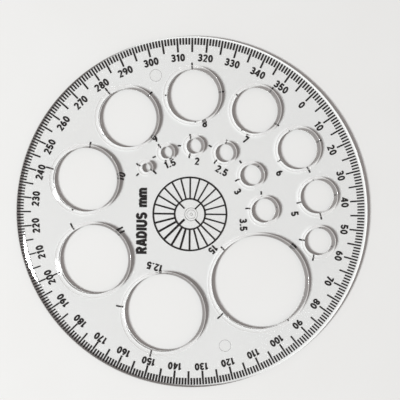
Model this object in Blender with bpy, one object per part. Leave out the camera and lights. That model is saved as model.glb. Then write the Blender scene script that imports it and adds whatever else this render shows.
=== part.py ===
"""A clear circle template: a moulded disc with sixteen chamfered circle holes, printed on its underside.

Metres, +Z up. The origin is on the surface that the template lies on, under the middle of the disc.
A bearing is in degrees clockwise from +Y, seen from above, which is how the printed degree scale counts.
"""

import math

import bmesh
import bpy
from mathutils import Matrix, Vector

MM = 0.001

# The moulding
DISC_RADIUS = 57.5 * MM
PLATE_THICKNESS = 2.0 * MM
RIM_BEVEL_WIDTH = 2.9 * MM
RIM_BEVEL_DEPTH = 0.8 * MM
HOLE_CHAMFER_WIDTH = 1.0 * MM
HOLE_CHAMFER_DEPTH = 0.9 * MM
PENCIL_ALLOWANCE = 0.42 * MM  # a hole is this much larger in radius than the circle that a pencil draws in it
GATE_RADIUS = 2.2 * MM
GATE_DEPTH = 0.3 * MM
GATE_PIP_RADIUS = 0.5 * MM
EJECTOR_RADIUS = 2.0 * MM
EJECTOR_DEPTH = 0.1 * MM
EJECTOR_BEARINGS = (120, 300)
EJECTOR_FROM_EDGE = 11.5 * MM

# Where the holes go: two rows, each tangent to a circle round the middle of the disc
SCALE_BAND = 10.6 * MM  # from the disc's edge to the outer row
WHEEL_RADIUS = 12.0 * MM
WHEEL_BAND = 7.75 * MM  # from the printed wheel to the inner row
ROW_WEB = 4.9 * MM  # plastic between two neighbours, where a row isn't spread to fill its arc
SMALL_RUN_BEARING = 315
LARGE_RUN_BEARING = 90
INNER_ROW_BEARING = 270

# Each hole: the radius of the circle it draws, then how far its figure is set inwards from the hole's edge
# and clockwise of the hole's middle, all in millimetres. The print's shift comes on top of that.
SMALL_RUN = ((8, 0.5, 4.5), (7, 1.8, 2.8), (6, 2.0, 3.8), (5, 2.0, 4.6), (4, 2.6, 3.0))
LARGE_RUN = ((15, 2.4, 2.7), (12.5, 1.1, 6.4), (11, 1.1, 4.6), (10, 0.9, 4.8), (9, 0.6, 4.1))
INNER_ROW = ((1, 1.5, 1.2), (1.5, 2.0, 0.2), (2, 2.4, 1.7), (2.5, 2.3, 2.4), (3, 2.6, 2.4), (3.5, 2.4, 4.4))

# The print
INK_THICKNESS = 0.05 * MM
INK_GAP = 0.05 * MM  # between the film and the plate, which are flat and parallel
PRINT_SHIFT = Vector((-0.35 * MM, -0.35 * MM))  # the print lands this far off the moulding's middle
LINE_WIDTH = 0.3 * MM
HAIR_WIDTH = 0.12 * MM  # a link that holds separate marks together as one solid
SCALE_FROM_EDGE = 0.7 * MM
DEGREE_TICK = 2.1 * MM
FIVE_DEGREE_TICK = 4.4 * MM
DEGREE_FIGURES_FROM_EDGE = 6.7 * MM
FIGURE_HEIGHT = 2.3 * MM
FIGURE_WIDTHS = {"1": 1.1 * MM, ".": 0.8 * MM}
DIGIT_WIDTH = 1.55 * MM
MARK_REACH = 1.6 * MM  # a hole's four marks end this far outside the circle that the hole draws
OUTER_MARK_DRIFT = 0.9 * MM  # the outer row's marks are printed clockwise of its holes,
INNER_MARK_DRIFT = -0.9 * MM  # and the inner row's anticlockwise
WHEEL_LINE = 0.4 * MM
HUB_RADIUS = 5.0 * MM
SPOKE_COUNT = 24
CROSS_GAP_RADIUS = 2.5 * MM
THREAD_SHARE = 0.75  # the furthest across a hole that its figure's hair leaves the ring, as a share of its radius
MARK_SHARE = 0.5  # the same for its marks
LEGEND_SIZE = (24.0 * MM, 3.4 * MM)
LEGEND_BEARING = 225
LEGEND_DISTANCE = 16.4 * MM
LEGEND_SLIDE = -1.8 * MM

# How far a facet may stray from its circle
PLATE_SAG = 0.04 * MM
INK_SAG = 0.12 * MM

SHARP_ANGLE = 30  # degrees between two faces, above which their edge is shaded sharp

UNDERSIDE = INK_THICKNESS + INK_GAP
TOP = UNDERSIDE + PLATE_THICKNESS
CUT_MARGIN = 1.0 * MM


def facets(radius, sag):
    """How many sides a circle needs, as a multiple of four so that it touches all four sides of its box."""
    return 4 * math.ceil(math.pi / (4 * math.acos(1 - sag / radius)))


def heading(bearing):
    return Vector((math.sin(math.radians(bearing)), math.cos(math.radians(bearing))))


def hole_radius(size):
    return size * MM + PENCIL_ALLOWANCE


# Hole layout


def step_between(first, second, limit, side, web):
    """The bearing from one hole to the next, by the law of cosines on their middles and the disc's.

    side is -1 for holes that lie inside the limit circle and touch it, and 1 for holes outside it.
    """
    a = limit + side * first
    b = limit + side * second
    c = first + second + web
    return math.degrees(math.acos((a * a + b * b - c * c) / (2 * a * b)))


def run_length(radii, limit, side, web):
    return sum(step_between(a, b, limit, side, web) for a, b in zip(radii, radii[1:]))


def web_that_fills(radii, limit, side, arc):
    """The web with which a run of holes reaches over the arc, found by halving."""
    low, high = 0.0, limit
    for _ in range(50):
        web = (low + high) / 2
        reaches = min(radii) + web / 2 < limit / 2 and run_length(radii, limit, side, web) < arc
        low, high = (web, high) if reaches else (low, web)
    return low


def placed(run, bearing, limit, side, web, drift):
    """One dictionary for each hole of a run: its size, place, bearing and where its figure goes."""
    holes = []
    for number, (size, inwards, clockwise) in enumerate(run):
        radius = hole_radius(size)
        if number:
            bearing += step_between(holes[-1]["radius"], radius, limit, side, web)
        holes.append(
            {
                "size": size,
                "radius": radius,
                "bearing": bearing % 360,
                "middle": heading(bearing) * (limit + side * radius),
                "figure": (inwards * MM, clockwise * MM),
                "drift": drift,
            }
        )
    return holes


def all_holes():
    outer_limit = DISC_RADIUS - SCALE_BAND
    inner_limit = WHEEL_RADIUS + WHEEL_BAND
    small = placed(SMALL_RUN, SMALL_RUN_BEARING, outer_limit, -1, ROW_WEB, OUTER_MARK_DRIFT)
    closing = [hole_radius(row[0]) for row in LARGE_RUN + SMALL_RUN[:1]]
    web = web_that_fills(closing, outer_limit, -1, SMALL_RUN_BEARING - LARGE_RUN_BEARING)
    large = placed(LARGE_RUN, LARGE_RUN_BEARING, outer_limit, -1, web, OUTER_MARK_DRIFT)
    inner = placed(INNER_ROW, INNER_ROW_BEARING, inner_limit, 1, ROW_WEB, INNER_MARK_DRIFT)
    return small + large + inner


# Making objects


def painted(name, color, roughness, alpha=1.0):
    material = bpy.data.materials.new(name)
    material.use_nodes = True
    shader = material.node_tree.nodes["Principled BSDF"]
    shader.inputs["Base Color"].default_value = (*color, 1.0)
    shader.inputs["Roughness"].default_value = roughness
    shader.inputs["Alpha"].default_value = alpha
    material.diffuse_color = (*color, alpha)
    return material


def new_object(name, bm, collection, material=None):
    mesh = bpy.data.meshes.new(name)
    bm.to_mesh(mesh)
    bm.free()
    if material:
        mesh.materials.append(material)
    mesh.shade_smooth()
    mesh.set_sharp_from_angle(angle=math.radians(SHARP_ANGLE))
    made = bpy.data.objects.new(name, mesh)
    collection.objects.link(made)
    return made


def turned(rings, sides):
    """A closed solid of circles stacked up the Z axis: rings are (radius, height) pairs from bottom to top."""
    bm = bmesh.new()
    loops = []
    for radius, height in rings:
        matrix = Matrix.Translation((0, 0, height))
        loops.append(bmesh.ops.create_circle(bm, radius=radius, segments=sides, matrix=matrix)["verts"])
    for lower, upper in zip(loops, loops[1:]):
        edges = {edge for vert in lower + upper for edge in vert.link_edges}
        rims = [edge for edge in edges if set(edge.verts) <= set(lower) or set(edge.verts) <= set(upper)]
        bmesh.ops.bridge_loops(bm, edges=rims)
    for loop in (loops[0], loops[-1]):
        bm.faces.new(loop)
    bmesh.ops.recalc_face_normals(bm, faces=bm.faces)
    return bm


def cutter(name, rings, sides, place, cutters):
    made = new_object(name, turned(rings, sides), cutters)
    made.location = (place.x, place.y, 0)
    made.hide_render = True
    made.display_type = "WIRE"
    return made


# The plate


def hole_cutters(holes, cutters):
    """Each hole is a straight wall from the underside, then a chamfer that opens towards the top face."""
    for hole in holes:
        radius = hole["radius"]
        wall_top = TOP - HOLE_CHAMFER_DEPTH
        slope = HOLE_CHAMFER_WIDTH / HOLE_CHAMFER_DEPTH
        rings = (
            (radius, UNDERSIDE - CUT_MARGIN),
            (radius, wall_top),
            (radius + slope * (HOLE_CHAMFER_DEPTH + CUT_MARGIN), TOP + CUT_MARGIN),
        )
        cutter(f"cut_hole_{hole['size']}", rings, facets(radius, PLATE_SAG), hole["middle"], cutters)


def gate_cutter(cutters):
    """A round recess in the top face, with the stub of the sprue left standing in its middle."""
    sides = facets(GATE_RADIUS, PLATE_SAG)
    rings = ((GATE_RADIUS, TOP - GATE_DEPTH), (GATE_RADIUS, TOP + CUT_MARGIN))
    recess = cutter("cut_gate", rings, sides, Vector((0, 0)), cutters)
    stub_rings = ((GATE_PIP_RADIUS, TOP - 2 * GATE_DEPTH), (GATE_PIP_RADIUS, TOP + 2 * CUT_MARGIN))
    stub_bm = turned(stub_rings, facets(GATE_PIP_RADIUS, PLATE_SAG))
    stub = new_object("keep_gate_pip", stub_bm, bpy.context.scene.collection)
    stub.hide_render = True
    stub.display_type = "WIRE"
    keep = recess.modifiers.new("leave the pip", "BOOLEAN")
    keep.object = stub
    keep.operation = "DIFFERENCE"
    keep.solver = "EXACT"


def ejector_cutters(cutters):
    for bearing in EJECTOR_BEARINGS:
        rings = ((EJECTOR_RADIUS, UNDERSIDE - CUT_MARGIN), (EJECTOR_RADIUS, UNDERSIDE + EJECTOR_DEPTH))
        place = heading(bearing) * (DISC_RADIUS - EJECTOR_FROM_EDGE)
        cutter(f"cut_ejector_{bearing}", rings, facets(EJECTOR_RADIUS, PLATE_SAG), place, cutters)


def make_plate(holes, material):
    cutters = bpy.data.collections.new("cutters")
    bpy.context.scene.collection.children.link(cutters)
    hole_cutters(holes, cutters)
    gate_cutter(cutters)
    ejector_cutters(cutters)
    rings = (
        (DISC_RADIUS, UNDERSIDE),
        (DISC_RADIUS, TOP - RIM_BEVEL_DEPTH),
        (DISC_RADIUS - RIM_BEVEL_WIDTH, TOP),
    )
    bm = turned(rings, facets(DISC_RADIUS, PLATE_SAG))
    plate = new_object("clear_plate", bm, bpy.context.scene.collection, material)
    cut = plate.modifiers.new("holes and moulding marks", "BOOLEAN")
    cut.operand_type = "COLLECTION"
    cut.collection = cutters
    cut.operation = "DIFFERENCE"
    cut.solver = "EXACT"


# The print: flat films built from four-sided pieces that share whole edges


def spot(middle, bearing, along, across):
    """The point that lies along a bearing from a middle, and across to the right of it."""
    ahead = heading(bearing)
    right = Vector((ahead.y, -ahead.x))
    return middle + ahead * along + right * across


def strip(middle, bearing, start, end, left, right):
    """A four-sided piece along a bearing. start and end are each a distance along for its left and its right side."""
    return [
        spot(middle, bearing, start[0], left),
        spot(middle, bearing, start[1], right),
        spot(middle, bearing, end[1], right),
        spot(middle, bearing, end[0], left),
    ]


def reach(radius, across):
    """How far along a bearing a line, moved across to the right, leaves a circle."""
    return math.sqrt(radius * radius - across * across)


def ring(middle, inner, outer, gates, sag):
    """The pieces of a flat ring. A gate (bearing, left, right) is where a line of that width meets it."""
    pieces = []
    spans = []
    for bearing, left, right in gates:
        edges = [[bearing + math.degrees(math.asin(side / rho)) for side in (left, right)] for rho in (inner, outer)]
        spans.append(edges)
    spans.sort(key=lambda edges: edges[0][0] % 360)
    largest = 2 * math.degrees(math.acos(1 - sag / outer))
    for number, here in enumerate(spans):
        following = spans[(number + 1) % len(spans)]
        gap = (following[0][0] - here[0][1]) % 360
        steps = max(1, math.ceil(gap / largest))
        inner_stops = [here[0][0]]
        outer_stops = [here[1][0]]
        outer_gap = (following[1][0] - here[1][1]) % 360
        for step in range(steps + 1):
            inner_stops.append(here[0][1] + gap * step / steps)
            outer_stops.append(here[1][1] + outer_gap * step / steps)
        for a, b, c, d in zip(inner_stops, inner_stops[1:], outer_stops[1:], outer_stops):
            pieces.append(
                [
                    middle + heading(a) * inner,
                    middle + heading(b) * inner,
                    middle + heading(c) * outer,
                    middle + heading(d) * outer,
                ]
            )
    return pieces


def film(name, pieces, material):
    """One flat solid from pieces that share whole edges, its lower face at z = 0."""
    bm = bmesh.new()
    for corners in pieces:
        bm.faces.new([bm.verts.new((corner.x, corner.y, 0)) for corner in corners])
    bmesh.ops.remove_doubles(bm, verts=bm.verts, dist=0.001 * MM)
    bmesh.ops.recalc_face_normals(bm, faces=bm.faces)
    for face in bm.faces:
        if face.normal.z < 0:
            face.normal_flip()
    made = new_object(name, bm, bpy.context.scene.collection, material)
    thicken = made.modifiers.new("film thickness", "SOLIDIFY")
    thicken.thickness = INK_THICKNESS
    thicken.offset = 1
    return made


def text_width(text):
    return sum(FIGURE_WIDTHS.get(letter, DIGIT_WIDTH) for letter in text)


def make_degree_scale(material):
    """A band as wide as the single-degree ticks are long, with a longer tick for every fifth degree.

    The band stands for the 360 ticks, which are too many and too fine for this solid.
    """
    outer = DISC_RADIUS - SCALE_FROM_EDGE
    inner = outer - DEGREE_TICK
    half = LINE_WIDTH / 2
    fives = range(0, 360, 5)
    pieces = ring(PRINT_SHIFT, inner, outer, [(degree, -half, half) for degree in fives], INK_SAG)
    for degree in fives:
        start, end = outer - FIVE_DEGREE_TICK, reach(inner, half)
        pieces.append(strip(PRINT_SHIFT, degree, (start, start), (end, end), -half, half))
    film("degree_scale_ink", pieces, material)


def make_degree_figures(material):
    """A patch of the figures' outer size for every tenth degree, threaded on a hair ring."""
    radius = DISC_RADIUS - DEGREE_FIGURES_FROM_EDGE
    inner, outer = radius - HAIR_WIDTH / 2, radius + HAIR_WIDTH / 2
    halves = {degree: text_width(str(degree)) / 2 for degree in range(0, 360, 10)}
    pieces = ring(PRINT_SHIFT, inner, outer, [(degree, -half, half) for degree, half in halves.items()], INK_SAG)
    for degree, half in halves.items():
        low, high = radius - FIGURE_HEIGHT / 2, radius + FIGURE_HEIGHT / 2
        pieces.append(strip(PRINT_SHIFT, degree, (low,) * 2, (reach(inner, half),) * 2, -half, half))
        pieces.append(strip(PRINT_SHIFT, degree, (reach(outer, half),) * 2, (high,) * 2, -half, half))
    film("degree_figures_ink", pieces, material)


def make_wheel(material):
    """Two rings joined by spokes, four of which run on inwards as a centring cross with an open middle."""
    half = LINE_WIDTH / 2
    rim_inner, rim_outer = WHEEL_RADIUS - WHEEL_LINE / 2, WHEEL_RADIUS + WHEEL_LINE / 2
    hub_inner, hub_outer = HUB_RADIUS - WHEEL_LINE / 2, HUB_RADIUS + WHEEL_LINE / 2
    bearings = [360 * number / SPOKE_COUNT for number in range(SPOKE_COUNT)]
    gates = [(bearing, -half, half) for bearing in bearings]
    pieces = ring(PRINT_SHIFT, rim_inner, rim_outer, gates, INK_SAG)
    pieces += ring(PRINT_SHIFT, hub_inner, hub_outer, gates, INK_SAG)
    for bearing in bearings:
        start, end = reach(hub_outer, half), reach(rim_inner, half)
        pieces.append(strip(PRINT_SHIFT, bearing, (start,) * 2, (end,) * 2, -half, half))
        if bearing % 90 == 0:
            start, end = CROSS_GAP_RADIUS, reach(hub_inner, half)
            pieces.append(strip(PRINT_SHIFT, bearing, (start,) * 2, (end,) * 2, -half, half))
    film("centre_wheel_ink", pieces, material)


def make_legend(material):
    """A patch of the legend's outer size, beside the wheel. Its text reads along the tangent."""
    length, height = LEGEND_SIZE
    middle = PRINT_SHIFT
    low, high = LEGEND_DISTANCE - height / 2, LEGEND_DISTANCE + height / 2
    left, right = LEGEND_SLIDE - length / 2, LEGEND_SLIDE + length / 2
    film("legend_ink", [strip(middle, LEGEND_BEARING, (low,) * 2, (high,) * 2, left, right)], material)


def make_hole_print(hole, material):
    """A hole's four marks and a patch of its figure's size, joined by a hair ring round the hole.

    The ring follows the moulded hole and the marks follow the print, so each mark is moved across by the drift,
    as far as half the hole's radius.
    """
    middle = hole["middle"]
    bearing = hole["bearing"]
    inner = hole["radius"] + HAIR_WIDTH
    outer = inner + HAIR_WIDTH
    inwards, clockwise = hole["figure"]
    inwards -= PRINT_SHIFT.dot(heading(bearing))
    clockwise += PRINT_SHIFT.dot(heading(bearing + 90))
    width = text_width(str(hole["size"]))
    near = max(hole["radius"] + inwards - FIGURE_HEIGHT / 2, outer + HAIR_WIDTH)
    far = near + FIGURE_HEIGHT
    patch_left, patch_right = -clockwise - width / 2, -clockwise + width / 2
    # The figure hangs from a hair that runs inwards from the ring.
    thread = -min(clockwise, THREAD_SHARE * hole["radius"])
    left, right = thread - HAIR_WIDTH / 2, thread + HAIR_WIDTH / 2
    gates = [(bearing + 180, left, right)]
    start = reach(outer, left), reach(outer, right)
    pieces = [strip(middle, bearing + 180, start, (near, near), left, right)]
    stops = (patch_left, left, right, patch_right)
    for a, b in zip(stops, stops[1:]):
        pieces.append(strip(middle, bearing + 180, (near, near), (far, far), a, b))
    most = MARK_SHARE * hole["radius"]
    print_middle = PRINT_SHIFT + spot(Vector((0, 0)), bearing, 0, hole["drift"])
    for turn in (0, 90, 180, 270):
        ahead = heading(bearing + turn)
        across = max(-most, min(most, print_middle.dot(Vector((ahead.y, -ahead.x)))))
        left, right = across - LINE_WIDTH / 2, across + LINE_WIDTH / 2
        gates.append((bearing + turn, left, right))
        end = hole["size"] * MM + MARK_REACH + print_middle.dot(ahead)
        if turn == 180 and right + HAIR_WIDTH > patch_left and left - HAIR_WIDTH < patch_right:
            end = min(end, near - HAIR_WIDTH)
        if end > outer + HAIR_WIDTH:
            start = reach(outer, left), reach(outer, right)
            pieces.append(strip(middle, bearing + turn, start, (end, end), left, right))
    pieces += ring(middle, inner, outer, gates, INK_SAG)
    label = str(hole["size"]).replace(".", "p")
    film(f"radius_{label}_ink", pieces, material)


def main():
    for leftover in list(bpy.data.objects):
        bpy.data.objects.remove(leftover)
    clear = painted("clear polystyrene", (0.90, 0.92, 0.91), 0.08, alpha=0.35)
    ink = painted("black pad-printing ink", (0.012, 0.012, 0.013), 0.55)
    holes = all_holes()
    make_plate(holes, clear)
    make_degree_scale(ink)
    make_degree_figures(ink)
    make_wheel(ink)
    make_legend(ink)
    for hole in holes:
        make_hole_print(hole, ink)


main()
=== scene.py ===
# %% [markdown]
# # A clear circle template
#
# A circle template is a flat disc of clear plastic with round holes of graded sizes. A pencil runs round
# the inside of a hole and draws a true circle. This one also has a full degree scale round its rim, like a
# protractor, and a printed wheel in the middle for centring it on a drawing.
#
# It is made in one shot of an injection-moulding machine and then printed on its underside in black. So
# there are only two things to get right: a clear solid whose edges catch the light, and a crisp print seen
# through it. We start from the engineering model, which gives every size, and make the fine surfaces around
# it.

import bpy
import numpy as np
from mathutils import Matrix, Vector
from mathutils.geometry import delaunay_2d_cdt


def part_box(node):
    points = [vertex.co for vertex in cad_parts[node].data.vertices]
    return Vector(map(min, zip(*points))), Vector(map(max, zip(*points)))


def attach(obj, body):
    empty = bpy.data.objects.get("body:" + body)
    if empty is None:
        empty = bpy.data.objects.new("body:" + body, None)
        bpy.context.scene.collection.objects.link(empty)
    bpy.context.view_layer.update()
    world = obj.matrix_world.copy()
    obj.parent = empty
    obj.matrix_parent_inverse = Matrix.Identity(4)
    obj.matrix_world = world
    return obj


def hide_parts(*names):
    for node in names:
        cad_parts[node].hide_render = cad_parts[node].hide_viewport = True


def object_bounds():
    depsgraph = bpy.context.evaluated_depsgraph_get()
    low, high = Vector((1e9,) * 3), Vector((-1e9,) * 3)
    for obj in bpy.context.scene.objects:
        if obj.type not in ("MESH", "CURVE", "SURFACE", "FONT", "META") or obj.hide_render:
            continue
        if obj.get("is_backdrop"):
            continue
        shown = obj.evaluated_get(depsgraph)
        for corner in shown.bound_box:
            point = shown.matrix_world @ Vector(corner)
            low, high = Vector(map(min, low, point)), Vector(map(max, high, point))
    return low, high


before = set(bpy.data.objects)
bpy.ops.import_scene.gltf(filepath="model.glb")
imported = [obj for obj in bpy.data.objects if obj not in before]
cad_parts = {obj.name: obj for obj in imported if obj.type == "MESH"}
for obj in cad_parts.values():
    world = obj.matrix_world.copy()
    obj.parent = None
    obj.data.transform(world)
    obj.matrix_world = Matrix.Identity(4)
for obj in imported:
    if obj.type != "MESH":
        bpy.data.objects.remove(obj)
cad_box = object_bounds()
print(len(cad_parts), "nodes in the engineering model")

# %% [markdown]
# ## Sizes
#
# The disc's radius, its thickness and the height of its underside are read from the engineering model. The
# rest are the sizes that the toolmaker cut into the mould. Everything is in metres, so a size in
# millimetres is multiplied by MM. A bearing is in degrees clockwise from the 0 mark, seen from above,
# because the printed scale counts so.

# %% Sizes of the moulding
MM = 0.001
plate_low, plate_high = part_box("clear_plate")
DISC_RADIUS = (plate_high.x - plate_low.x) / 2
UNDERSIDE = plate_low.z
TOP = plate_high.z
RIM_BEVEL_WIDTH = 2.9 * MM
RIM_BEVEL_DEPTH = 0.8 * MM
CHAMFER_WIDTH = 1.0 * MM
CHAMFER_DEPTH = 0.9 * MM
PENCIL_ALLOWANCE = 0.42 * MM
GATE_RADIUS = 2.2 * MM
GATE_DEPTH = 0.3 * MM
EJECTOR_RADIUS = 2.0 * MM
EJECTOR_DEPTH = 0.1 * MM
# How far in from the rim each ejector pin stood, for its bearing.
EJECTOR_FROM_EDGE = {120: 12.5 * MM, 300: 11.0 * MM}
print(f"disc {2 * DISC_RADIUS / MM:.1f} mm across, {(TOP - UNDERSIDE) / MM:.2f} mm thick")

# %% [markdown]
# ## Where the holes are
#
# A designer packs the holes by rule. The outer row touches a circle just inside the degree figures, and the
# inner row touches a circle just outside the wheel. Along a row, two neighbours are a fixed web of plastic
# apart. The angle between them follows from the triangle of their two middles and the disc's middle, by the
# law of cosines.

# %% Hole layout
ROW_WEB = 4.9 * MM
OUTER_LIMIT = DISC_RADIUS - 10.6 * MM
INNER_LIMIT = 19.75 * MM
SMALL_RUN = (8, 7, 6, 5, 4)
LARGE_RUN = (15, 12.5, 11, 10, 9)
INNER_ROW = (1, 1.5, 2, 2.5, 3, 3.5)
SMALL_RUN_BEARING = 315
LARGE_RUN_BEARING = 90
INNER_ROW_BEARING = 270


def turns(sizes, limit, side, web):
    """The angles from each hole to the next: cos(angle) = (a² + b² - c²) / 2ab, with a and b the holes'
    distances from the disc's middle and c the distance between them, which is both radii and the
    web."""
    radii = np.array(sizes) * MM + PENCIL_ALLOWANCE
    reach = limit + side * radii
    a, b, c = reach[:-1], reach[1:], radii[:-1] + radii[1:] + web
    return np.degrees(np.arccos((a * a + b * b - c * c) / (2 * a * b)))


def web_that_closes(sizes, limit, arc):
    """The web with which these holes reach over the arc, found by halving the range that it lies in."""
    low, high = 0.0, 10 * MM
    for _ in range(40):
        web = (low + high) / 2
        low, high = (web, high) if turns(sizes, limit, -1, web).sum() < arc else (low, web)
    return low


def row(sizes, first_bearing, limit, side, web):
    """(size, radius, bearing, distance of its middle) of each hole of a row."""
    bearings = first_bearing + np.concatenate([[0], np.cumsum(turns(sizes, limit, side, web))])
    radii = np.array(sizes) * MM + PENCIL_ALLOWANCE
    return list(zip(sizes, radii, bearings % 360, limit + side * radii))


large_web = web_that_closes(LARGE_RUN + SMALL_RUN[:1], OUTER_LIMIT, SMALL_RUN_BEARING - LARGE_RUN_BEARING)
HOLES = (
    row(SMALL_RUN, SMALL_RUN_BEARING, OUTER_LIMIT, -1, ROW_WEB)
    + row(LARGE_RUN, LARGE_RUN_BEARING, OUTER_LIMIT, -1, large_web)
    + row(INNER_ROW, INNER_ROW_BEARING, INNER_LIMIT, 1, ROW_WEB)
)
print(len(HOLES), "holes, the large ones", round(large_web / MM, 2), "mm apart")

# %% [markdown]
# ## Three small helpers
#
# Colours are written as the hex values that a paint program shows. Blender's shaders want linear light, so
# one function turns the first into the second. One function adds a shader node with its settings and its
# links. One puts numpy arrays into a mesh, which is far faster than adding points one by one.

# %% Helpers for colours, nodes and meshes


def linear(hex_code):
    """The sRGB curve undone: c / 12.92 below 0.04045, and ((c + 0.055) / 1.055) to the power 2.4 above it."""
    srgb = np.array([int(hex_code[i : i + 2], 16) for i in (1, 3, 5)]) / 255
    light = np.where(srgb <= 0.04045, srgb / 12.92, ((srgb + 0.055) / 1.055) ** 2.4)
    return (*light.tolist(), 1.0)


def add(tree, kind, inputs=None, **settings):
    """Adds a shader node. An input is a plain value, or another node's output, which is then linked to it."""
    node = tree.nodes.new(kind)
    for name, value in settings.items():
        setattr(node, name, value)
    for name, value in (inputs or {}).items():
        if isinstance(value, bpy.types.NodeSocket):
            tree.links.new(value, node.inputs[name])
        else:
            node.inputs[name].default_value = value
    return node


def new_material(name):
    """An empty material, with its node tree and its output."""
    material = bpy.data.materials.new(name)
    material.use_nodes = True
    tree = material.node_tree
    tree.nodes.clear()
    return material, tree, add(tree, "ShaderNodeOutputMaterial")


def make_piece(name, points, quads, triangles, materials):
    """One object at the origin, from arrays of points, four-sided faces and triangles. The four-sided
    faces are shaded smooth, and the triangles flat."""
    mesh = bpy.data.meshes.new(name)
    mesh.vertices.add(len(points))
    mesh.vertices.foreach_set("co", np.asarray(points, np.float32).ravel())
    quads = np.asarray(quads, np.int32).reshape(-1, 4)
    triangles = np.asarray(triangles, np.int32).reshape(-1, 3)
    mesh.loops.add(quads.size + triangles.size)
    mesh.loops.foreach_set("vertex_index", np.concatenate([quads.ravel(), triangles.ravel()]))
    mesh.polygons.add(len(quads) + len(triangles))
    starts = np.concatenate([np.arange(len(quads)) * 4, quads.size + np.arange(len(triangles)) * 3])
    mesh.polygons.foreach_set("loop_start", starts.astype(np.int32))
    smooth = np.repeat([True, False], [len(quads), len(triangles)])
    mesh.polygons.foreach_set("use_smooth", smooth)
    mesh.update(calc_edges=True)
    for material in materials:
        mesh.materials.append(material)
    made = bpy.data.objects.new(name, mesh)
    bpy.context.scene.collection.objects.link(made)
    return made


# %% [markdown]
# ## Clear polystyrene
#
# Most cheap drawing templates are crystal polystyrene, shot into a polished steel mould. It bends light
# more than window glass does: its index of refraction is 1.59. It is almost free of colour. Its polished
# faces are mirror smooth, but cooling leaves them very slightly wavy, and use covers them with fine
# scratches.
#
# A path tracer finds light that has gone through clear plastic only by luck, which would leave the paper
# under the disc speckled or dark. So the rays that light the paper pass straight through: those that look
# for a lamp, and those that the matt paper scatters. Each kind of surface lets a share of them by, and the
# shares are given below. Light that enters through a steep wall meets the underside so aslant that it is
# wholly mirrored back in and never reaches the paper, so a wall lets next to none by. That is what draws
# the dark crescents at each hole.
#
# Some of that trapped light does come down: the wall on the lamp's side of a hole mirrors it onto the paper
# as a bright crescent. Rays that pass straight through can't find it, so a glow value on the underside
# stands in for it. The glow is set out for the bearing of the lamp in this scene, and it has to be turned
# if the lamp is moved.

# %% Material: injection-moulded clear polystyrene
POLYSTYRENE_IOR = 1.59


def clear_polystyrene(name, lamp_share, room_share, haze=0.0, haze_color="#F4F1EF"):
    """Glass for every ray but those that light matt things. Those pass unbent, a share of the lamp's
    light and a share of the room's. Where the mesh has a glow value, a painted pool of light, more of the
    lamp's light gets by. The haze is the share of the surface that is matt: rubbed plastic on the rim,
    painted light on the chamfers and walls, a painted highlight on a chamfer's upper edge, and painted
    shade in the dark grey of the scars."""
    material, tree, output = new_material(name)
    place = add(tree, "ShaderNodeTexCoord").outputs["Object"]
    # Waves about 9 mm long, from plastic that shrinks unevenly as it cools.
    waves = add(tree, "ShaderNodeTexNoise", {"Vector": place, "Scale": 110.0, "Detail": 1.0})
    # Scratches run every way. Two stretched noises at an angle give lines 0.2 mm apart and some 8 mm long.
    scratches = []
    for angle, length in ((0.5, 8.0), (2.1, 6.0)):
        turned_place = add(
            tree,
            "ShaderNodeMapping",
            {"Vector": place, "Rotation": (0, 0, angle), "Scale": (1 / (length * MM), 1 / (0.2 * MM), 1.0)},
        )
        scratches.append(add(tree, "ShaderNodeTexNoise", {"Vector": turned_place.outputs[0], "Scale": 1.0}))
    both = add(
        tree,
        "ShaderNodeMath",
        {0: scratches[0].outputs["Fac"], 1: scratches[1].outputs["Fac"]},
        operation="MAXIMUM",
    )
    shallow = add(
        tree,
        "ShaderNodeBump",
        {"Height": waves.outputs["Fac"], "Strength": 0.12, "Distance": 0.2 * MM},
    )
    fine = add(
        tree,
        "ShaderNodeBump",
        {"Height": both.outputs[0], "Normal": shallow.outputs[0], "Strength": 0.06, "Distance": 0.02 * MM},
    )
    # A fresh face has a roughness near 0.02, and handling takes it up to 0.07 in places.
    dull = add(
        tree,
        "ShaderNodeMapRange",
        {"Value": waves.outputs["Fac"], "From Min": 0.35, "From Max": 0.7, "To Min": 0.02, "To Max": 0.07},
    )
    plastic = add(
        tree,
        "ShaderNodeBsdfPrincipled",
        {
            "Base Color": linear("#FEFEFE"),
            "IOR": POLYSTYRENE_IOR,
            "Transmission Weight": 1.0,
            "Roughness": dull.outputs["Result"],
            "Normal": fine.outputs[0],
        },
    )
    shown = plastic
    if haze:
        scuffs = add(tree, "ShaderNodeBsdfDiffuse", {"Color": linear(haze_color)})
        shown = add(tree, "ShaderNodeMixShader", {0: haze, 1: plastic.outputs[0], 2: scuffs.outputs[0]})
    glow = add(tree, "ShaderNodeAttribute", attribute_name="glow").outputs["Fac"]
    lit = add(tree, "ShaderNodeMath", {0: glow, 1: lamp_share}, operation="ADD").outputs[0]
    from_lamp = add(tree, "ShaderNodeBsdfTransparent", {"Color": lit})
    from_room = add(tree, "ShaderNodeBsdfTransparent", {"Color": (room_share, room_share, room_share, 1.0)})
    rays = add(tree, "ShaderNodeLightPath").outputs
    for ray, through in (("Is Diffuse Ray", from_room), ("Is Shadow Ray", from_lamp)):
        shown = add(tree, "ShaderNodeMixShader", {0: rays[ray], 1: shown.outputs[0], 2: through.outputs[0]})
    tree.links.new(shown.outputs[0], output.inputs["Surface"])
    return material


# The shares of the lamp's and of the room's light that get by. A real face lets about nine tenths by. The
# lamp's share is more than one here, to make up for light that the paper and the plastic send to and fro.
FACE_LAMP, FACE_ROOM = 1.04, 0.86
WALL_LAMP, WALL_ROOM = 0.03, 0.4
POLISHED_FACE = clear_polystyrene("clear polystyrene, polished face", FACE_LAMP, FACE_ROOM)
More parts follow.
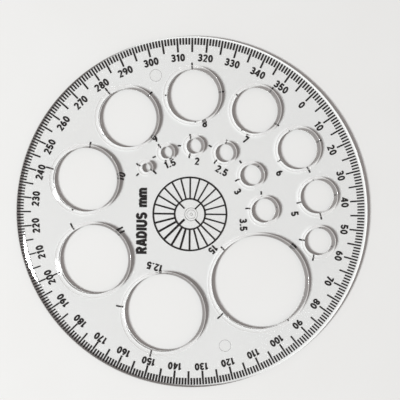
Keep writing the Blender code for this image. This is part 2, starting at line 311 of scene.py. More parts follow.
# The pale haze on the chamfers and the walls is painted light: a polished chamfer is as clear as a face, and
# the haze stands in for light that reaches the paper under the plastic's edges.
CHAMFER_FACE = clear_polystyrene("clear polystyrene, chamfer", FACE_LAMP, FACE_ROOM, haze=0.12)
MOULDED_WALL = clear_polystyrene("clear polystyrene, moulded wall", WALL_LAMP, WALL_ROOM, haze=0.12)
# The steep faces of the gate's recess and of the pins' circles are real scars, but their dark grey haze is
# painted shade, for the thin dark lines that such small steps show in clear plastic.
SCARS_AND_PAINTED_SHADE = clear_polystyrene("clear polystyrene, scars and painted shade", 1.0, 0.8, haze=0.55, haze_color="#6E6967")
# The rim rubs against hands and drawers, so its wall is duller than the holes' and looks pale from the side.
RUBBED_RIM = clear_polystyrene("clear polystyrene, rubbed rim", WALL_LAMP, WALL_ROOM, haze=0.45)
# The upper edge of a chamfer shows as a thin pale line, the highlight on its rounding, so a strip of pale
# matt haze there is a painted highlight.
PAINTED_EDGE_HIGHLIGHT = clear_polystyrene("clear polystyrene, painted edge highlight", FACE_LAMP, FACE_ROOM, haze=0.6)
PLATE_MATERIALS = (POLISHED_FACE, CHAMFER_FACE, MOULDED_WALL, SCARS_AND_PAINTED_SHADE, RUBBED_RIM, PAINTED_EDGE_HIGHLIGHT)
FACE_SLOT, CHAMFER_SLOT, WALL_SLOT, SCAR_SHADE_SLOT, RIM_SLOT, EDGE_HIGHLIGHT_SLOT = range(len(PLATE_MATERIALS))
mirrored = ((POLYSTYRENE_IOR - 1) / (POLYSTYRENE_IOR + 1)) ** 2
print("polystyrene mirrors", round(mirrored, 3), "of light head on")

# %% [markdown]
# ## The disc
#
# The disc is turned in the mathematical sense: each edge is a profile carried round an axis. The rim is one
# profile round the disc's middle. Every hole is a profile round its own middle, and so are the mark that
# the plastic's gate leaves in the middle of the disc and the two faint circles left by the pins that push
# it out of the mould. No moulded edge is truly sharp, so each corner of a profile is rounded, and those
# small roundings are what glitters. Last, the flat faces between the profiles are filled with triangles.

# %% Profiles: corners rounded in the plane


def rounded(corners, radii, steps=4):
    """A polyline with its inner corners rounded. At a corner P, the curve is the parabola from P + r·u
    to P + r·v, where u and v point to the neighbours: (1-t)²(P + r·u) + 2t(1-t)P + t²(P + r·v)."""
    corners = np.asarray(corners, float)
    t = np.linspace(0, 1, steps + 1)[:, None]
    rows = [corners[:1]]
    for before, corner, after, radius in zip(corners, corners[1:], corners[2:], radii):
        start = corner + radius * (before - corner) / np.linalg.norm(before - corner)
        end = corner + radius * (after - corner) / np.linalg.norm(after - corner)
        rows.append((1 - t) ** 2 * start + 2 * t * (1 - t) * corner + t**2 * end)
    rows.append(corners[-1:])
    return np.concatenate(rows)


def sides_for(radius, sag=0.004 * MM):
    """Sides of a circle whose flats stray no more than sag from it: sag = r (1 - cos(180° / n))."""
    return 4 * int(np.ceil(np.pi / np.arccos(1 - sag / radius) / 4))


def turned(profile, middle, sides):
    """A profile (r, z) carried round a vertical axis: x = r cos θ, y = r sin θ, z = z. The surface
    faces the right of the profile's direction, as seen with r to the right and z up."""
    r, z = np.asarray(profile).T
    theta = np.linspace(0, 2 * np.pi, sides, endpoint=False)
    ones = np.ones(sides)
    points = np.stack([np.outer(r, np.cos(theta)), np.outer(r, np.sin(theta)), np.outer(z, ones)], -1)
    points[..., :2] += np.asarray(middle)
    ids = np.arange(len(r) * sides).reshape(len(r), sides)
    onward = np.roll(ids, -1, axis=1)
    quads = np.stack([ids[:-1], onward[:-1], onward[1:], ids[1:]], -1).reshape(-1, 4)
    return points.reshape(-1, 3), quads, ids[0], ids[-1]


profile = rounded([(0, 0), (1, 0), (1, 1)], [0.3])
print("a corner becomes", len(profile), "points")

# %% [markdown]
# A profile that ends on the axis would put all its last points in one place. It stops a hair short of the
# axis instead, and the little ring that is left is closed like any other flat face.

# %% Gather the surfaces of the disc
EDGE_ROUNDING = 0.12 * MM
AXIS_RING = 0.05 * MM
# The lamp stands on this side. Light that runs inside the plastic is mirrored down onto the paper by the
# wall that stops it: the one on the lamp's side of each hole, and the rim on the far side of the disc.
KEY_BEARING = 205
# The glow is a painted pool of light on the underside that stands in for this mirrored light: it lets more of
# the lamp's light through to the paper beside those walls.
GLOW_WIDTH = 1.9 * MM
RIM_GLOW_WIDTH = 1.1 * MM
GLOW = 0.95
# Unbent rays that cross the lower part of the chamfer land where bent ones would leave the paper dark.
DARK_SHARE = 0.42
# A face that rises more than this for each metre along it is a wall's, a chamfer's or a scar's.
STEEP_RISE = 0.4
# These two rises, and this height under the top, tell the rounded upper edge of a chamfer from the rest.
EDGE_RISES = (0.15, 0.62)
EDGE_HEIGHT = 0.1 * MM


def heading(bearing):
    """The direction of a bearing: (sin b, cos b)."""
    return np.stack([np.sin(np.radians(bearing)), np.cos(np.radians(bearing))], -1)


def rim_profile():
    """Up the outside of the disc, from the flat underside over the wall and the bevel to the flat top."""
    shoulder = TOP - RIM_BEVEL_DEPTH
    crest = DISC_RADIUS - RIM_BEVEL_WIDTH
    corners = [
        (DISC_RADIUS - RIM_GLOW_WIDTH, UNDERSIDE),
        (DISC_RADIUS, UNDERSIDE),
        (DISC_RADIUS, shoulder),
        (crest, TOP),
        (crest - 0.6 * MM, TOP),
    ]
    return rounded(corners, [EDGE_ROUNDING, 2 * EDGE_ROUNDING, 3 * EDGE_ROUNDING])


def hole_profile(radius):
    """Down the inside of a hole, from the flat top over the chamfer and the wall to the flat underside."""
    corners = [
        (radius + CHAMFER_WIDTH + 0.3 * MM, TOP),
        (radius + CHAMFER_WIDTH, TOP),
        (radius + DARK_SHARE * CHAMFER_WIDTH, TOP - (1 - DARK_SHARE) * CHAMFER_DEPTH),
        (radius, TOP - CHAMFER_DEPTH),
        (radius, UNDERSIDE),
        (radius + GLOW_WIDTH / 2, UNDERSIDE),
        (radius + GLOW_WIDTH, UNDERSIDE),
    ]
    return rounded(corners, [EDGE_ROUNDING, 0.01 * MM, EDGE_ROUNDING, EDGE_ROUNDING, 0.01 * MM])


def gate_profile():
    """From the flat top into the round recess, across its floor and up the broken stub of the sprue."""
    floor = TOP - GATE_DEPTH
    corners = [
        (GATE_RADIUS + 0.2 * MM, TOP),
        (GATE_RADIUS, TOP),
        (GATE_RADIUS - 0.18 * MM, floor),
        (1.5 * MM, floor),
        (1.42 * MM, floor + 0.12 * MM),
        (1.34 * MM, floor),
        (0.5 * MM, floor),
        (0.3 * MM, TOP - 0.02 * MM),
        (AXIS_RING, TOP - 0.05 * MM),
    ]
    return rounded(corners, [0.08 * MM, 0.08 * MM] + [0.03 * MM] * 3 + [0.08 * MM, 0.06 * MM])


def ejector_profile():
    """On the underside, from the middle of the pin's shallow print out to its edge and down to the flat
    face."""
    ceiling = UNDERSIDE + EJECTOR_DEPTH
    corners = [
        (AXIS_RING, ceiling),
        (EJECTOR_RADIUS - 0.16 * MM, ceiling),
        (EJECTOR_RADIUS, UNDERSIDE),
        (EJECTOR_RADIUS + 0.1 * MM, UNDERSIDE),
    ]
    return rounded(corners, [0.03 * MM, 0.03 * MM])


points, quads, slots, glows, top_rings, under_rings = [], [], [], [], [], []
count = 0


def gather(profile, middle, radius, top_end=None, under_end=None, pole=None, glow_side=0, scar=False):
    """Turns a profile, keeps its surface, and notes which of its end rings the flat faces share. A wall
    has a side with a painted glow: 1 is the lamp's side and -1 the far side. Its steep faces have a material
    of their own, and so do those of a scar, whose dark grey is painted shade."""
    global count
    here, faces, first, last = turned(profile, middle, sides_for(radius))
    ends = {"first": first + count, "last": last + count}
    if top_end:
        top_rings.append(ends[top_end])
    if under_end:
        under_rings.append(ends[under_end])
    points.append(here)
    quads.append(faces + count)
    rise = np.abs(np.diff(profile[:, 1])) / np.hypot(*np.diff(profile, axis=0).T)
    kind = np.full(len(rise), FACE_SLOT)
    if scar:
        # A scar's steep faces get the dark grey of painted shade.
        kind[rise > STEEP_RISE] = SCAR_SHADE_SLOT
    if glow_side:
        low = (profile[1:, 1] + profile[:-1, 1]) / 2 < TOP - (1 - DARK_SHARE) * CHAMFER_DEPTH
        kind[rise > STEEP_RISE] = CHAMFER_SLOT
        kind[(rise > STEEP_RISE) & low] = WALL_SLOT if glow_side > 0 else RIM_SLOT
    if glow_side > 0:
        # The rounded upper edge of each hole's chamfer gets the painted highlight.
        edge = (rise > EDGE_RISES[0]) & (rise < EDGE_RISES[1]) & (profile[1:, 1] > TOP - EDGE_HEIGHT)
        kind[edge] = EDGE_HIGHLIGHT_SLOT
    slots.append(np.repeat(kind, len(here) // len(profile)))
    # The glow on the underside is full at the wall, and fades with the distance from it. Round the hole it
    # follows the square root of the cosine of the angle to the lamp.
    reach = np.linalg.norm(here[:, :2] - middle, axis=1)
    towards_lamp = (here[:, :2] - middle) @ heading(KEY_BEARING) / reach
    width = GLOW_WIDTH if glow_side > 0 else RIM_GLOW_WIDTH
    near = np.clip(1 - np.abs(reach - radius) / width, 0, 1) * (here[:, 2] < UNDERSIDE + 0.001 * MM)
    glows.append(GLOW * near * np.sqrt(np.clip(glow_side * towards_lamp, 0, 1)))
    count += len(here)
    return ends[pole] if pole else None


gather(rim_profile(), (0, 0), DISC_RADIUS, top_end="last", under_end="first", glow_side=-1)
for size, radius, bearing, distance in HOLES:
    gather(hole_profile(radius), heading(bearing) * distance, radius, "first", "last", glow_side=1)
poles = [(gather(gate_profile(), (0, 0), GATE_RADIUS, top_end="first", pole="last", scar=True), 1)]
for bearing, from_edge in EJECTOR_FROM_EDGE.items():
    place = heading(bearing) * (DISC_RADIUS - from_edge)
    ring = gather(ejector_profile(), place, EJECTOR_RADIUS, under_end="last", pole="first", scar=True)
    poles.append((ring, -1))
points, quads, slots, glows = (np.concatenate(rows) for rows in (points, quads, slots, glows))
print(len(points), "points and", len(quads), "faces in the turned surfaces")

# %% [markdown]
# The flat faces are discs with round windows. A Delaunay triangulation joins the rings' points with the
# fattest triangles it can, and keeps every ring's edges. It fills the windows too. A triangle in a window
# has all three of its corners on that window's ring, and no other triangle does, so those are easy to drop.

# %% Fill the flat faces, and make the disc


def fill(rings, facing):
    """Triangles between the first ring, which is the outside, and the others, which are windows."""
    ids = np.concatenate(rings)
    label = np.repeat(np.arange(len(rings)), [len(ring) for ring in rings])
    flat = [Vector(p) for p in (points[ids][:, :2] / MM).tolist()]
    starts = np.cumsum([0] + [len(ring) for ring in rings])
    edges = [
        (int(a), int(b))
        for start, ring in zip(starts, rings)
        for a, b in zip(start + np.arange(len(ring)), start + np.roll(np.arange(len(ring)), -1))
    ]
    _, _, faces, kept, _, _ = delaunay_2d_cdt(flat, edges, [], 0, 1e-6)
    faces = np.array([kept[i][0] for face in faces for i in face]).reshape(-1, 3)
    on_one_ring = (label[faces] == label[faces[:, :1]]).all(1) & (label[faces[:, 0]] > 0)
    faces = ids[faces[~on_one_ring]]
    a, b, c = (points[faces[:, i], :2] for i in range(3))
    turn = (b - a)[:, 0] * (c - a)[:, 1] - (b - a)[:, 1] * (c - a)[:, 0]
    faces[turn * facing < 0] = faces[turn * facing < 0][:, ::-1]
    return faces


def cap(ring, facing):
    """A fan over one small ring: each triangle joins the ring's first point to two neighbours."""
    fan = np.stack([np.full(len(ring) - 2, ring[0]), ring[1:-1], ring[2:]], -1)
    return fan if facing > 0 else fan[:, ::-1]


caps = [cap(ring, way) for ring, way in poles]
triangles = np.concatenate([fill(top_rings, 1), fill(under_rings, -1)] + caps)
plate = make_piece("template_plate", points, quads, triangles, PLATE_MATERIALS)
plate.data.polygons.foreach_set("material_index", np.concatenate([slots, np.zeros(len(triangles), int)]))
plate.data.attributes.new("glow", "FLOAT", "POINT").data.foreach_set("value", glows.astype(np.float32))
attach(plate, "root")
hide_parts("clear_plate")
print(len(triangles), "triangles fill the flat faces")

# %% [markdown]
# ## Black pad-printing ink
#
# The scale is pad printed: a soft silicone pad lifts wet ink from an etched plate and presses it on the
# plastic. The film is matt, not quite black, and a little uneven, because the pad never gives up all of its
# ink. It is bonded to the plastic with no air between, so it has hardly any shine of its own.

# %% Material: black pad-printing ink


def pad_ink():
    """A matt black whose density wanders over about a millimetre."""
    material, tree, output = new_material("black pad-printing ink")
    place = add(tree, "ShaderNodeTexCoord").outputs["Object"]
    mottle = add(tree, "ShaderNodeTexNoise", {"Vector": place, "Scale": 900.0, "Detail": 3.0})
    density = add(tree, "ShaderNodeValToRGB", {"Fac": mottle.outputs["Fac"]})
    density.color_ramp.elements[0].position = 0.35
    density.color_ramp.elements[0].color = linear("#060607")
    density.color_ramp.elements[1].position = 0.75
    density.color_ramp.elements[1].color = linear("#151415")
    grain = add(tree, "ShaderNodeTexNoise", {"Vector": place, "Scale": 6000.0})
    bump = add(
        tree,
        "ShaderNodeBump",
        {"Height": grain.outputs["Fac"], "Strength": 0.2, "Distance": 0.01 * MM},
    )
    ink = add(
        tree,
        "ShaderNodeBsdfPrincipled",
        {"Base Color": density.outputs["Color"], "Roughness": 0.62, "IOR": 1.06, "Normal": bump.outputs[0]},
    )
    tree.links.new(ink.outputs[0], output.inputs["Surface"])
    return material


INK = pad_ink()
print("made the", INK.name)

# %% [markdown]
# ## Lines of ink
#
# Everything printed here is made of lines of one width: ticks, rings, spokes, and figures too, because a
# plain sans-serif figure is a pen stroke of even weight. So one function does it all. It carries a flat bar
# along a path and gives a thin closed solid. The pad lands a little off the moulding's middle, as it does
# on most cheap prints, so the print has its own middle.

# %% Bars of ink along paths
FILM_LOW = 0.01 * MM
FILM_HIGH = UNDERSIDE - 0.01 * MM
PRINT_MIDDLE = np.array([-0.35, -0.35]) * MM
MITRE_LIMIT = 3.0


def bar(path, width, closed=False):
    """A flat bar along a path. At each point the two sides lie on the mitre of the segments that meet
    there: half the width along the mean of their normals, over the cosine of half the turn, up to a
    limit."""
    path = np.asarray(path, float)
    steps = np.diff(np.concatenate([path, path[:1]]), axis=0)
    normals = np.stack([-steps[:, 1], steps[:, 0]], -1) / np.hypot(*steps.T)[:, None]
    if not closed:
        normals[-1] = normals[-2]
    before = np.roll(normals, 1, axis=0)
    if not closed:
        before[0] = normals[0]
    mean = (normals + before) / 2
    stretch = np.minimum(1 / np.maximum((mean**2).sum(1), 1e-9), MITRE_LIMIT)
    side = mean * stretch[:, None] * width / 2
    left, right = path + side, path - side
    rails = [(right, FILM_LOW), (left, FILM_LOW), (left, FILM_HIGH), (right, FILM_HIGH)]
    points = np.stack([np.column_stack([line, np.full(len(line), z)]) for line, z in rails], 1)
    ids = np.arange(len(path) * 4).reshape(-1, 4)
    here, onward = (ids, np.roll(ids, -1, axis=0)) if closed else (ids[:-1], ids[1:])
    rail_pairs = ((0, 1), (1, 2), (2, 3), (3, 0))
    faces = [np.stack([here[:, a], here[:, b], onward[:, b], onward[:, a]], -1) for a, b in rail_pairs]
    if not closed:
        faces += [ids[:1, ::-1], ids[-1:]]
    return points.reshape(-1, 3), np.concatenate(faces)


def print_piece(name, bars, stands_for):
    """Joins bars of ink into one piece that stands for a node of the engineering model."""
    starts = np.cumsum([0] + [len(points) for points, _ in bars])
    joined = np.concatenate([points for points, _ in bars])
    faces = np.concatenate([faces + start for (_, faces), start in zip(bars, starts)])
    piece = make_piece(name, joined, faces, [], [INK])
    piece.data.polygons.foreach_set("use_smooth", np.zeros(len(faces), bool))
    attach(piece, "root")
    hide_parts(stands_for)
    return piece


def arc(cx, cy, rx, ry, start, stop, steps=12):
    """Points on an ellipse: (cx + rx cos a, cy + ry sin a), with a from start to stop in degrees."""
    a = np.radians(np.linspace(start, stop, steps + 1))
    return np.stack([cx + rx * np.cos(a), cy + ry * np.sin(a)], -1)


def loop(cx, cy, rx, ry):
    """A whole ellipse, without the last point, which is the first again."""
    return arc(cx, cy, rx, ry, 0, 360, 24)[:-1]


print("a square tick has", len(bar([(0, 0), (0, 1)], 0.3)[1]), "faces")

# %% [markdown]
# ## Pressure
#
# The print isn't equally bold all round. The pad pressed hardest towards the 178 degree side, so lines
# spread there. A bell curve over the bearing gives each line its width. The ticks near the rim have one of
# their own.

# %% How bold a line is


def bell(bearing, peak, width):
    """1 at the peak and near 0 far from it: exp(-(difference / width)²)."""
    away = (np.asarray(bearing) - peak + 180) % 360 - 180
    return np.exp(-((away / width) ** 2))


def spread(bearing):
    """How far the ink spreads: a bell round the bearing where the pad pressed hardest."""
    return bell(bearing, 178, 45)


def tick_width(bearing):
    """The degree ticks are bold towards 150 degrees, and a little bold on the opposite side."""
    return (0.45 + 0.17 * bell(bearing, 148, 38) + 0.12 * bell(bearing, 335, 70)) * MM


def line_width(bearing):
    """The width of a spoke: 0.48 mm, and 0.26 mm more where the ink spreads most."""
    return (0.48 + 0.26 * spread(bearing)) * MM


widths = np.round(line_width(np.array([178, 240, 330])) / MM, 2)
print("lines are", *widths, "mm wide at 178, 240 and 330 degrees")

# %% [markdown]
# ## The degree scale
#
# There are 360 ticks. They end on one circle near the rim, and every fifth one is twice as long. They lie
# under the sloping bevel, which bends the view of them a little, just as on the real disc.

# %% Degree scale
SCALE_OUTER = DISC_RADIUS - 0.7 * MM
# The ring of ticks is a little off the rest of the print.
SCALE_MIDDLE = PRINT_MIDDLE + np.array([0.0, 0.2]) * MM
DEGREE_TICK = 2.1 * MM
FIVE_DEGREE_TICK = 4.4 * MM


def tick(bearing, start, end, width, middle=PRINT_MIDDLE):
    """A straight tick along a bearing, between two distances from the print's middle."""
    return bar(middle + np.outer([start, end], heading(bearing)), width)


ticks = []
for degree in range(360):
    length = DEGREE_TICK if degree % 5 else FIVE_DEGREE_TICK
    ticks.append(tick(degree, SCALE_OUTER - length, SCALE_OUTER, tick_width(degree), SCALE_MIDDLE))
print_piece("printed_degree_scale", ticks, "degree_scale_ink")
print(len(ticks), "ticks")

# %% [markdown]
# ## The centring wheel
#
# Two rings and 24 spokes. Four of the spokes run on inwards and stop short of the middle, so that they
# point at the centre of a drawing without covering it.

# %% Centring wheel
WHEEL_RADIUS = 12.0 * MM
HUB_RADIUS = 5.0 * MM
CROSS_GAP_RADIUS = 2.5 * MM
RING_LINE = 0.55 * MM
SPOKE_COUNT = 24


def printed_circle(radius, width):
    """A ring of ink: points radius · heading(b) for a bearing b every 2.5 degrees."""
    return bar(PRINT_MIDDLE + radius * heading(np.arange(0, 360, 2.5)[::-1]), width, closed=True)


wheel = [printed_circle(WHEEL_RADIUS, RING_LINE), printed_circle(HUB_RADIUS, RING_LINE)]
for bearing in np.arange(SPOKE_COUNT) * 360 / SPOKE_COUNT:
    wheel.append(tick(bearing, HUB_RADIUS + RING_LINE / 2, WHEEL_RADIUS - RING_LINE / 2, line_width(bearing)))
    if bearing % 90 == 0:
        wheel.append(tick(bearing, CROSS_GAP_RADIUS, HUB_RADIUS - RING_LINE / 2, line_width(bearing)))
print_piece("printed_centring_wheel", wheel, "centre_wheel_ink")
print(len(wheel), "lines in the wheel")

# %% [markdown]
# ## Figures and letters
#
# A type designer draws a plain sans-serif from a few pen strokes. Each glyph below is a list of strokes in
# a box one unit high: straight runs and arcs of ellipses. A closed stroke is marked True. A nine is a six
# turned half round.

# %% Strokes of each glyph


def path(*parts):
    """Joins points and arcs into one polyline."""
    return np.concatenate([np.asarray(part, float).reshape(-1, 2) for part in parts])


SIX = [
    (loop(0.29, 0.30, 0.20, 0.22), True),
    (arc(0.52, 0.34, 0.43, 0.60, 112, 178), False),
]
GLYPHS = {
    "0": (0.58, [(loop(0.29, 0.5, 0.20, 0.42), True)]),
    "1": (0.42, [(path((0.06, 0.74), (0.25, 0.90)), False), (path((0.27, 0.0), (0.27, 1.0)), False)]),
    "2": (0.58, [(path(arc(0.28, 0.70, 0.20, 0.22, 165, -35), (0.09, 0.08), (0.52, 0.08)), False)]),
    "3": (
        0.58,
        [(path(arc(0.27, 0.71, 0.18, 0.21, 160, -80), arc(0.27, 0.29, 0.21, 0.21, 80, -160)), False)],
    ),
    "4": (
        0.60,
        [
            (path((0.41, 0.0), (0.41, 1.0)), False),
            (path((0.34, 0.90), (0.05, 0.29), (0.56, 0.29)), False),
        ],
    ),
    "5": (
        0.58,
        [(path((0.49, 0.92), (0.15, 0.92), (0.10, 0.52), arc(0.28, 0.31, 0.21, 0.23, 125, -160)), False)],
    ),
    "6": (0.58, SIX),
    "7": (0.54, [(path((0.05, 0.92), (0.47, 0.92), (0.47, 0.86), (0.19, 0.0)), False)]),
    "8": (0.58, [(loop(0.29, 0.73, 0.17, 0.19), True), (loop(0.29, 0.29, 0.20, 0.21), True)]),
    "9": (0.58, [((0.58, 1.0) - strokes, closed) for strokes, closed in SIX]),
    ".": (0.26, [(path((0.13, 0.0), (0.13, 0.18)), False)]),
}
print(len(GLYPHS), "glyphs so far")

# %% Set a line of type
FIGURE_HEIGHT = 2.3 * MM
GLYPH_GAP = 0.10
GLYPH_STRETCH = 1.07


def set_type(text, middle, up_bearing, height, stroke):
    """Bars for a line of type centred on a point, with the tops of its letters towards a bearing. A
    glyph's point (x, y) goes to middle + height (stretch (x - half the line) right + (y - 1/2) up)."""
    up, right = heading(up_bearing), heading(up_bearing + 90)
    length = sum(GLYPHS[letter][0] + GLYPH_GAP for letter in text) - GLYPH_GAP
    bars, start = [], -length / 2
    for letter in text:
        advance, strokes = GLYPHS[letter]
        for outline, closed in strokes:
            x, y = (start + outline[:, 0]) * height * GLYPH_STRETCH, (outline[:, 1] - 0.5) * height
            bars.append(bar(middle + np.outer(x, right) + np.outer(y, up), stroke, closed))
        start += advance + GLYPH_GAP
    return bars


def figure_stroke(bearing):
    """The width of a figure's strokes: 0.54 mm, and 0.06 mm more where the ink spreads most."""
    return (0.54 + 0.06 * spread(bearing)) * MM


widest = round(figure_stroke(178) / MM, 2)
print("figures are", round(FIGURE_HEIGHT / MM, 2), "mm high, with strokes up to", widest, "mm wide")

# %% [markdown]
# ## Degree figures
#
# Every tenth degree has its figure, centred on its tick, with its top towards the rim.

# %% Degree figures
FIGURES_RADIUS = DISC_RADIUS - 6.7 * MM

figures = []
for degree in range(0, 360, 10):
    middle = PRINT_MIDDLE + FIGURES_RADIUS * heading(degree)
    figures += set_type(str(degree), middle, degree, FIGURE_HEIGHT, figure_stroke(degree))
print_piece("printed_degree_figures", figures, "degree_figures_ink")
print(len(figures), "strokes in the degree figures")

# %% [markdown]
# ## What is printed at each hole
#
# Four short marks, a quarter turn apart, line a hole up with a drawing's centre lines. They begin on the
# circle that a pencil draws and run outwards. The printing plate was laid out with these groups turned a
# touch from the moulded holes, so some marks begin on bare air: nothing prints there, and the mark starts
# at the edge of the plastic. Beside the marks is the circle's radius.

# %% Marks and radius figures
MARK_REACH = 1.9 * MM
MARK_LINE = 0.48 * MM
EDGE_CLEARANCE = 0.12 * MM
# How far the middle of a hole's marks is from the hole's, clockwise and outwards in mm, and how far the
# marks are turned clockwise in degrees. No rule gives these, so each is listed one by one.
MARK_PLACES = {
    8: (0.3, 0.8, -4),
    7: (0.4, 0.7, 5),
    6: (0.75, 0.35, 5),
    5: (0.7, 0.0, -4),
    4: (0.6, -0.3, 0),
    15: (1.15, -0.1, 2),
    12.5: (1.3, 1.0, -4),
    11: (1.15, 1.6, -1),
    10: (0.4, 1.6, -2),
    9: (0.6, 1.35, -7),
}
INNER_DRIFT = -0.9 * MM
INNER_MARK_GAP = 0.8 * MM
SHORTEST_MARK = 0.1 * MM
THREE_MARK_SIZES = (1, 1.5)
# How far each figure's middle is from the hole's edge, inwards, and from the hole's bearing, clockwise, in
# mm. The print's own shift comes on top.
FIGURE_PLACES = {
    8: (0.5, 4.5),
    7: (1.8, 2.8),
    6: (2.0, 3.8),
    5: (2.0, 4.6),
    4: (2.6, 3.0),
    15: (2.4, 2.7),
    12.5: (1.1, 6.4),
    11: (1.1, 4.6),
    10: (0.9, 4.8),
    9: (1.35, 4.1),
    1: (1.5, 1.2),
    1.5: (2.0, 0.2),
    2: (2.4, 1.7),
    2.5: (2.3, 2.4),
    3: (2.6, 2.4),
    3.5: (2.4, 4.4),
}


def hole_mark(size, radius, hole_middle, print_middle, bearing, gap):
    """A mark from the drawn circle outwards, cut off where the plastic begins. Along the mark's
    direction d from the print's middle P, the hole's edge round H is at s = d·(H-P) + √(R² - |H-P|² +
    (d·(H-P))²)."""
    ahead = heading(bearing)
    offset = hole_middle - print_middle
    along = ahead @ offset
    inside = (radius + EDGE_CLEARANCE) ** 2 - offset @ offset + along**2
    edge = along + np.sqrt(max(inside, 0)) if inside > 0 else size * MM
    start, end = max(size * MM + gap, edge), size * MM + MARK_REACH
    if end - start < SHORTEST_MARK:
        return []
    return [bar(print_middle + np.outer([start, end], ahead), MARK_LINE)]


for size, radius, bearing, distance in HOLES:
    out, clockwise = heading(bearing), heading(bearing + 90)
    middle = out * distance
    if size in MARK_PLACES:
        aside, outwards, turn = MARK_PLACES[size]
        marks_middle, gap = middle + (clockwise * aside + out * outwards) * MM, 0
    else:
        marks_middle, turn, gap = middle + PRINT_MIDDLE + clockwise * INNER_DRIFT, 0, INNER_MARK_GAP
    marks = []
    for quarter in (0, 90, 180, 270):
        if quarter != 180 or size not in THREE_MARK_SIZES:
            marks += hole_mark(size, radius, middle, marks_middle, bearing + turn + quarter, gap)
    inwards, aside = FIGURE_PLACES[size]
    figure_middle = middle + PRINT_MIDDLE - out * (radius + inwards * MM) + clockwise * aside * MM
    marks += set_type(str(size), figure_middle, bearing, FIGURE_HEIGHT, figure_stroke(bearing))
    label = str(size).replace(".", "p")
    print_piece(f"printed_radius_{label}", marks, f"radius_{label}_ink")
print("marks and figures at", len(HOLES), "holes")

# %% [markdown]
# ## The legend
#
# Beside the wheel is a short legend that says what the figures are. It needs a few more glyphs, drawn the
# same way.

# %% Legend
LEGEND_HEIGHT = 3.4 * MM
LEGEND_STROKE = 0.92 * MM
LEGEND_MIDDLE = np.array([-9.8, -13.3]) * MM
LEGEND_UP_BEARING = 225

GLYPHS |= {
    " ": (0.34, []),
    "A": (
        0.62,
        [
            (path((0.06, 0.0), (0.28, 1.0)), False),
            (path((0.56, 0.0), (0.34, 1.0)), False),
            (path((0.18, 0.28), (0.44, 0.28)), False),
        ],
    ),
    "D": (
        0.60,
        [
            (path((0.09, 0.0), (0.09, 1.0)), False),
            (path((0.17, 0.91), arc(0.24, 0.5, 0.26, 0.41, 90, -90), (0.17, 0.09)), False),
        ],
    ),
    "I": (0.20, [(path((0.10, 0.0), (0.10, 1.0)), False)]),
    "R": (
        0.60,
        [
            (path((0.09, 0.0), (0.09, 1.0)), False),
            (path((0.17, 0.91), arc(0.29, 0.71, 0.20, 0.20, 90, -90), (0.17, 0.51)), False),
            (path((0.32, 0.43), (0.50, 0.0)), False),
        ],
    ),
    "S": (
        0.58,
        [(path(arc(0.29, 0.71, 0.19, 0.20, 20, 270), arc(0.29, 0.30, 0.20, 0.21, 75, -160)), False)],
    ),
    "U": (0.60, [(path((0.09, 1.0), arc(0.30, 0.32, 0.21, 0.24, 180, 360), (0.51, 1.0)), False)]),
    "m": (
        0.78,
        [
            (path((0.08, 0.0), (0.08, 0.72)), False),
            (path(arc(0.24, 0.46, 0.15, 0.17, 150, 0, 8), (0.39, 0.0)), False),
            (path(arc(0.55, 0.46, 0.15, 0.17, 150, 0, 8), (0.70, 0.0)), False),
        ],
    ),
}
legend = set_type("RADIUS mm", LEGEND_MIDDLE, LEGEND_UP_BEARING, LEGEND_HEIGHT, LEGEND_STROKE)
print_piece("printed_legend", legend, "legend_ink")
print(len(legend), "strokes in the legend")

# %% [markdown]
# ## Paper
#
# A template is used on paper, so it lies on a sheet here. Uncoated white paper is a matt surface with
# fibres about a twentieth of a millimetre wide. They are too fine to show from this height, so they are
# drawn a little coarser.

# %% Floor of white paper


def uncoated_paper():
    """White paper: a plain diffuse sheet with a faint cloudiness and fibres 0.15 mm across."""
    material, tree, output = new_material("uncoated white paper")
    place = add(tree, "ShaderNodeTexCoord").outputs["Object"]
    cloud = add(tree, "ShaderNodeTexNoise", {"Vector": place, "Scale": 35.0, "Detail": 4.0})
    tone = add(tree, "ShaderNodeValToRGB", {"Fac": cloud.outputs["Fac"]})
    tone.color_ramp.elements[0].color = linear("#EFEEEC")
    tone.color_ramp.elements[1].color = linear("#F3F3F2")
    fibres = add(tree, "ShaderNodeTexNoise", {"Vector": place, "Scale": 6500.0, "Detail": 2.0})
    bump = add(
        tree,
        "ShaderNodeBump",
        {"Height": fibres.outputs["Fac"], "Strength": 0.1, "Distance": 0.02 * MM},
    )
    sheet = add(
        tree,
        "ShaderNodeBsdfPrincipled",
        {"Base Color": tone.outputs["Color"], "Roughness": 0.9, "IOR": 1.5, "Normal": bump.outputs[0]},
    )
    tree.links.new(sheet.outputs[0], output.inputs["Surface"])
    return material


FLOOR_SIDE = 3.0
corner = FLOOR_SIDE / 2
floor_points = [(-corner, -corner, 0), (corner, -corner, 0), (corner, corner, 0), (-corner, corner, 0)]
floor = make_piece("paper_floor", floor_points, [(0, 1, 2, 3)], [], [uncoated_paper()])
floor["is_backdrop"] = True
print("the paper is", FLOOR_SIDE, "m square")

# %% [markdown]
# ## Light
#
# One broad lamp stands low on the 205 degree side, like a window, and the room's pale walls fill the
# shadows. The lamp's height sets how far the shadows reach, and its breadth sets how soft they are. It is
# near enough for the paper on its side to be a little brighter.

# %% Key light and room light
KEY_ELEVATION = 39
KEY_BREADTH = 13
KEY_DISTANCE = 2.6
KEY_STRENGTH = 3.5
ROOM_STRENGTH = 0.30

flat_direction = heading(KEY_BEARING) * np.cos(np.radians(KEY_ELEVATION))
key_direction = Vector((*flat_direction, np.sin(np.radians(KEY_ELEVATION))))
key_data = bpy.data.lights.new("window", "AREA")
key_data.shape = "DISK"
key_data.size = 2 * KEY_DISTANCE * np.tan(np.radians(KEY_BREADTH / 2))
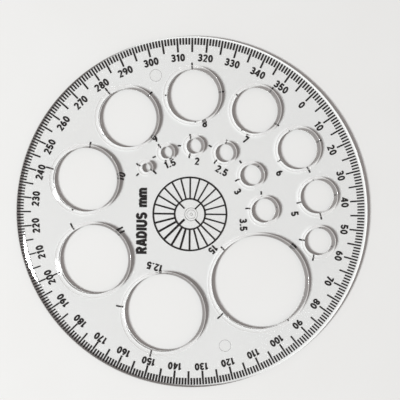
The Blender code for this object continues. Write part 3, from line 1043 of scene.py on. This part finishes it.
# A flat lamp of P watts gives P / (π d²) watts per square metre at a distance d in front of it.
key_data.energy = KEY_STRENGTH * np.pi * KEY_DISTANCE**2
key_data.color = linear("#FAFEFF")[:3]
key = bpy.data.objects.new("window", key_data)
key.rotation_euler = key_direction.to_track_quat("Z", "Y").to_euler()
key.location = key_direction * KEY_DISTANCE
bpy.context.scene.collection.objects.link(key)

world = bpy.data.worlds.new("pale room")
world.use_nodes = True
room = world.node_tree.nodes["Background"]
room.inputs["Color"].default_value = linear("#FFF5F2")
room.inputs["Strength"].default_value = ROOM_STRENGTH
bpy.context.scene.world = world
bpy.context.scene.view_settings.view_transform = "Standard"
print("the lamp is", KEY_ELEVATION, "degrees up")

# Light that is mirrored inside the disc goes from face to face a dozen times before a hole lets it out. A
# path that is cut off before that comes back black.
bpy.context.scene.cycles.max_bounces = 20
bpy.context.scene.cycles.glossy_bounces = 16
bpy.context.scene.cycles.transmission_bounces = 20

# %% [markdown]
# ## Camera
#
# The camera looks almost straight down from a hand's height, with the 315 degree mark at the top.

# %% Camera
CAMERA_PLACE = Vector((-4.2, 9.4, 145.1)) * MM
LOOKS_AT = Vector((-1.3, 5.25, 0.1)) * MM
UP_BEARING = 314.3
FIELD_OF_VIEW = 48.8

ahead = (LOOKS_AT - CAMERA_PLACE).normalized()
right = ahead.cross(Vector((*heading(UP_BEARING), 0))).normalized()
axes = Matrix((right, right.cross(ahead), -ahead)).transposed()
camera_data = bpy.data.cameras.new("camera")
camera_data.angle = np.radians(FIELD_OF_VIEW)
camera_data.clip_start = 0.01
camera = bpy.data.objects.new("camera", camera_data)
camera.matrix_world = Matrix.Translation(CAMERA_PLACE) @ axes.to_4x4()
bpy.context.scene.collection.objects.link(camera)
bpy.context.scene.camera = camera
print("the camera is", round((CAMERA_PLACE - LOOKS_AT).length / MM), "mm from what it looks at")

# %% [markdown]
# ## Print the sizes, and finish
#
# The finished surfaces have to be as big as the engineering model, so both boxes are written down side by
# side.

# %% Sizes and finish
new_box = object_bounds()
for name, (low, high) in (("engineering model", cad_box), ("finished model", new_box)):
    print(name, *(round((b - a) / MM, 2) for a, b in zip(low, high)), "mm")
